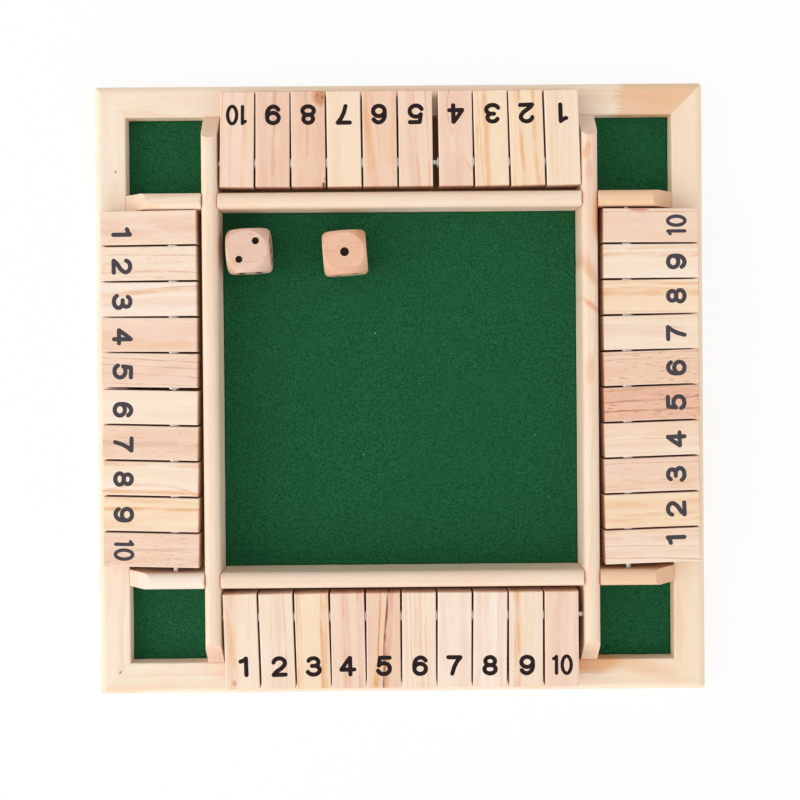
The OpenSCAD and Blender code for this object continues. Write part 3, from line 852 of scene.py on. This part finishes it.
class BOARD_OT_felt(Maker, bpy.types.Operator):
    """Felt laid in the dice well and in the four corner pockets"""
    bl_idname = "board.felt"
    bl_label = "Felt"

    def execute(self, context):
        rng = np.random.default_rng(SEED + 5)
        wool = wool_felt()
        low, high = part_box("felt_well")
        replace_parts(felt_sheet("felt_in_well", low, high, self.sizes, wool, rng), "felt_well")
        low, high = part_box("felt_pockets")
        # a pocket's felt is square, with the same gap at the rail as at the frame
        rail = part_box("long_rail_right")[1].x
        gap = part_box("frame_right")[0].x - high.x
        side = high.x - rail - gap
        for name, x, y in (("front_left", low.x, low.y), ("front_right", high.x - side, low.y),
                           ("back_left", low.x, high.y - side),
                           ("back_right", high.x - side, high.y - side)):
            made = felt_sheet("felt_" + name, Vector((x, y, low.z)),
                              Vector((x + side, y + side, high.z)), self.sizes, wool, rng)
            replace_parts(made, "felt_pockets")
        return {"FINISHED"}


# --- pivots ---

def drawn_steel(name, tint, roughness):
    """Bright drawn steel: a clear metal gleam, drawn out into faint lines along the stock."""
    made, tree, shader = surface(name, Metallic=1.0)
    lines = noise_value(tree, place_on(tree), 1800.0, Detail=2.0)
    tree.links.new(mixed(tree, fade(tree, lines, 0.3, 0.7, 0.0, 0.25), shade(tint),
                         shade("drawn_line")), shader.inputs["Base Color"])
    tree.links.new(fade(tree, lines, 0.3, 0.7, roughness, roughness + 0.12),
                   shader.inputs["Roughness"])
    return made


class BOARD_OT_pivots(Maker, bpy.types.Operator):
    """Steel for the pivot rods and the washers between the tiles"""
    bl_idname = "board.pivots"
    bl_label = "Rods and washers"

    def execute(self, context):
        dress("pivot_rods", drawn_steel("Drawn steel, rods", "steel", 0.28))
        dress("washers", drawn_steel("Plated steel, washers", "washer", 0.2))
        return {"FINISHED"}


# --- dice ---

# Turns that bring each face of a die, from its pips, to the top of the unturned die
DIE_FACES = {1: (0, 0), 2: (90, 0), 3: (0, 90), 4: (0, -90), 5: (-90, 0), 6: (180, 0)}
PIPS = {1: [(0, 0)], 2: [(-1, -1), (1, 1)], 3: [(0, 0), (-1, -1), (1, 1)],
        4: [(-1, -1), (1, 1), (-1, 1), (1, -1)], 5: [(0, 0), (-1, -1), (1, 1), (-1, 1), (1, -1)],
        6: [(-1, -1), (1, 1), (-1, 1), (1, -1), (-1, 0), (1, 0)]}
# How each die lies: its wood, and in degrees its tip about X and its turn about Z
DICE = {"die_left": ("die_wood", -90, 3), "die_right": ("die_right", 0, 4)}
# Browner wood at the dice's edges, as knots of pine()
DIE_PATCHES = {"die_left": [("die_edge", -4.5, -10.5, 7, 3, 0.22), ("die_edge", 7, -8, 4, 3, 0.3)],
               "die_right": [("die_edge", -9, 9, 5, 4, 0.4)]}
# How far the paint in a pip stands on the wood and is sunk in it, in metres
PIP_SKIN = 0.00002
# The rings of points on a pip's skin, as shares of its radius, and the points in a ring
PIP_RINGS = np.array([0.999, 0.9, 0.75, 0.55, 0.3])
AROUND_PIP = 24


def pip_cap(width, depth):
    """A thin closed skin of paint in a pip. The pip is a cap of a ball, and at radius p from
    its middle the ball's surface is the root of (ball squared less p squared) below the ball's
    centre. The skin's top is that surface raised by the paint, and its back is sunk by as
    much. z = 0 is the face."""
    ball = ((width / 2) ** 2 + depth ** 2) / (2 * depth)
    p = width / 2 * PIP_RINGS
    surface_z = ball - depth - np.sqrt(ball ** 2 - p ** 2)
    a = np.arange(AROUND_PIP) * 2 * np.pi / AROUND_PIP
    # rings run from the rim inwards over the top, then from the middle outwards underneath
    rings = []
    for lift, order in ((PIP_SKIN, 1), (-PIP_SKIN, -1)):
        for r, z in list(zip(p, surface_z))[::order]:
            rings.append(np.stack([r * np.cos(a), r * np.sin(a), np.full(len(a), z + lift)], -1))
    at = np.arange(len(rings) * len(a)).reshape(len(rings), len(a))
    quads = np.stack([at[:-1], np.roll(at[:-1], -1, 1), np.roll(at[1:], -1, 1), at[1:]], -1)
    back = len(p)
    skin = [quads[:back - 1].reshape(-1, 4), quads[back:].reshape(-1, 4),
            np.stack([at[-1], np.roll(at[-1], -1), np.roll(at[0], -1), at[0]], -1)]
    return np.concatenate(rings), [*np.concatenate(skin).tolist(),
                                   at[back - 1].tolist(), at[back][::-1].tolist()]


def pip_paint():
    """Black paint in the pips: matt, with paler specks where it is worn."""
    made, tree, shader = surface("Black pip paint", Roughness=0.6, Specular_IOR_Level=0.1)
    specks = noise_value(tree, place_on(tree), 1500.0)
    tree.links.new(mixed(tree, fade(tree, specks, 0.5, 0.8, 0.0, 0.3), shade("paint"),
                         shade("worn_paint")), shader.inputs["Base Color"])
    return made


class BOARD_OT_dice(Maker, bpy.types.Operator):
    """Wood for the two dice and black paint in their pips"""
    bl_idname = "board.dice"
    bl_label = "Dice"

    def execute(self, context):
        rng = np.random.default_rng(SEED + 6)
        paint = pip_paint()
        for die, (wood, tip, turn) in DICE.items():
            middle = middle_of(die)
            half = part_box(die)[1].z - middle.z
            look = grain_look(rng, spacing=0.9, contrast=0.22, depth=14.0, dashes=0.35)
            dress(die, pine("Turned beech, " + die.replace("_", " "), middle,
                            math.radians(90 - turn), wood, "brown", look,
                            knots=DIE_PATCHES[die], gloss=0.5, ends=DIE_ENDS))
            points, faces = [], []
            pose = Euler((math.radians(tip), 0, math.radians(turn))).to_matrix()
            for count, (about_x, about_y) in DIE_FACES.items():
                width = self.sizes.ace_width if count == 1 else self.sizes.pip_width
                cap, cap_faces = pip_cap(width, self.sizes.pip_depth)
                face = pose @ Euler((math.radians(about_x), math.radians(about_y), 0)).to_matrix()
                for x, y in PIPS[count]:
                    shift = (x * self.sizes.pip_step, y * self.sizes.pip_step, half)
                    start = sum(len(p) for p in points)
                    points.append((cap + shift) @ np.array(face).T + np.array(middle))
                    faces += [[i + start for i in f] for f in cap_faces]
            piece("pips_" + die, np.concatenate(points), faces, paint, die)
        return {"FINISHED"}


# --- stage ---

# Half the table's side in metres, and the part of its white that is its own light
TABLE_HALF, TABLE_GLOW = 2.0, 0.86
# The lamp's place and width in metres, and its power in watts
LAMP_PLACE, LAMP_WIDTH, LAMP_WATTS = (-1.1, -0.15, 0.75), 0.8, 2.5
# The camera's place in metres, its turn in radians, its lens and sensor in millimetres, and
# the shift of the lens as a share of the sensor
CAMERA_PLACE = (-0.00894, 0.02078, 0.62119)
CAMERA_TURN = (-0.0085, -0.0053, -0.0082)
LENS, SENSOR = 54.466, 36.0
LENS_SHIFT = (0.01373, -0.05263)


def seen_ray(tree):
    """1 for rays from the camera and for those that gloss or glass sends on, 0 for others."""
    rays = add_node(tree, "ShaderNodeLightPath").outputs
    return math_node(tree, "MAXIMUM", math_node(tree, "MAXIMUM", rays["Is Camera Ray"],
                                                rays["Is Glossy Ray"]),
                     rays["Is Transmission Ray"])


def light_tent():
    """Soft light from all round: brighter to the sides than above, the left most, and brighter
    in front than behind. To the camera and in metal it is plain white."""
    world = bpy.data.worlds.new("Light tent")
    world.use_nodes = True
    tree = world.node_tree
    seen = seen_ray(tree)
    toward = split(tree, add_node(tree, "ShaderNodeTexCoord").outputs["Generated"])
    sides = math_node(tree, "MULTIPLY_ADD", math_node(tree, "POWER", toward[0], 2.0), 0.8, 0.7)
    sides = math_node(tree, "MULTIPLY_ADD", toward[0], -0.3, sides)
    tent = math_node(tree, "MULTIPLY_ADD", toward[1], -0.38, sides)
    background = tree.nodes["Background"]
    background.inputs["Color"].default_value = (1, 1, 1, 1)
    tree.links.new(add_node(tree, "ShaderNodeMix", {0: seen, 2: tent, 3: 1.0}).outputs[0],
                   background.inputs["Strength"])
    return world


def white_card():
    """White card under the board: part of its white is its own light, so that the board's
    shadow stays soft and pale."""
    made, tree, shader = surface("White card", Roughness=0.9)
    shader.inputs["Base Color"].default_value = (0.97, 0.97, 0.97, 1)
    share = math_node(tree, "MULTIPLY", seen_ray(tree), TABLE_GLOW)
    glow = add_node(tree, "ShaderNodeEmission", {"Color": (1, 1, 1, 1), "Strength": 1.0})
    blend = add_node(tree, "ShaderNodeMixShader", {0: share, 1: shader.outputs[0],
                                                   2: glow.outputs[0]})
    tree.links.new(blend.outputs[0], tree.nodes["Material Output"].inputs["Surface"])
    return made


class BOARD_OT_stage(Maker, bpy.types.Operator):
    """A white table, soft light from above and a camera straight over the board"""
    bl_idname = "board.stage"
    bl_label = "Stage"

    def execute(self, context):
        scene = bpy.context.scene
        scene.view_settings.view_transform = "Standard"
        scene.world = light_tent()

        corners = [(-1, -1), (1, -1), (1, 1), (-1, 1)]
        mesh = bpy.data.meshes.new("table")
        mesh.from_pydata([(x * TABLE_HALF, y * TABLE_HALF, 0) for x, y in corners], [],
                         [(0, 1, 2, 3)])
        mesh.materials.append(white_card())
        floor = bpy.data.objects.new("table", mesh)
        scene.collection.objects.link(floor)

        lamp = bpy.data.lights.new("softbox", "AREA")
        lamp.shape, lamp.size, lamp.energy = "DISK", LAMP_WIDTH, LAMP_WATTS
        softbox = bpy.data.objects.new("softbox", lamp)
        softbox.location = LAMP_PLACE
        softbox.rotation_euler = (-softbox.location).to_track_quat("-Z", "Y").to_euler()
        scene.collection.objects.link(softbox)

        lens = bpy.data.cameras.new("camera")
        lens.sensor_width, lens.lens = SENSOR, LENS
        lens.shift_x, lens.shift_y = LENS_SHIFT
        lens.clip_start, lens.clip_end = 0.05, 10.0
        camera = bpy.data.objects.new("camera", lens)
        camera.rotation_euler = CAMERA_TURN
        camera.location = CAMERA_PLACE
        scene.collection.objects.link(camera)
        scene.camera = camera
        return {"FINISHED"}


class BOARD_PT_panel(bpy.types.Panel):
    """Lists the steps that dress the board"""
    bl_idname = "BOARD_PT_panel"
    bl_label = "Shut the box board"
    bl_space_type = "VIEW_3D"
    bl_region_type = "UI"
    bl_category = "Game board"

    def draw(self, context):
        for step in STEPS:
            self.layout.operator(step.bl_idname)
        for group in (context.scene.board_sizes, context.scene.board_colours):
            for name in group.__annotations__:
                self.layout.prop(group, name)


STEPS = (BOARD_OT_frame, BOARD_OT_panel, BOARD_OT_rails, BOARD_OT_tiles, BOARD_OT_numbers,
         BOARD_OT_felt, BOARD_OT_pivots, BOARD_OT_dice, BOARD_OT_stage)
CLASSES = (BoardSizes, BoardColours, *STEPS, BOARD_PT_panel)


def register():
    for cls in CLASSES:
        bpy.utils.register_class(cls)
    bpy.types.Scene.board_sizes = PointerProperty(type=BoardSizes)
    bpy.types.Scene.board_colours = PointerProperty(type=BoardColours)


def unregister():
    del bpy.types.Scene.board_sizes, bpy.types.Scene.board_colours
    for cls in reversed(CLASSES):
        bpy.utils.unregister_class(cls)


def main():
    register()
    grain_group()
    for step in STEPS:
        area, name = step.bl_idname.split(".")
        getattr(getattr(bpy.ops, area), name)()


if __name__ == "__main__":
    main()
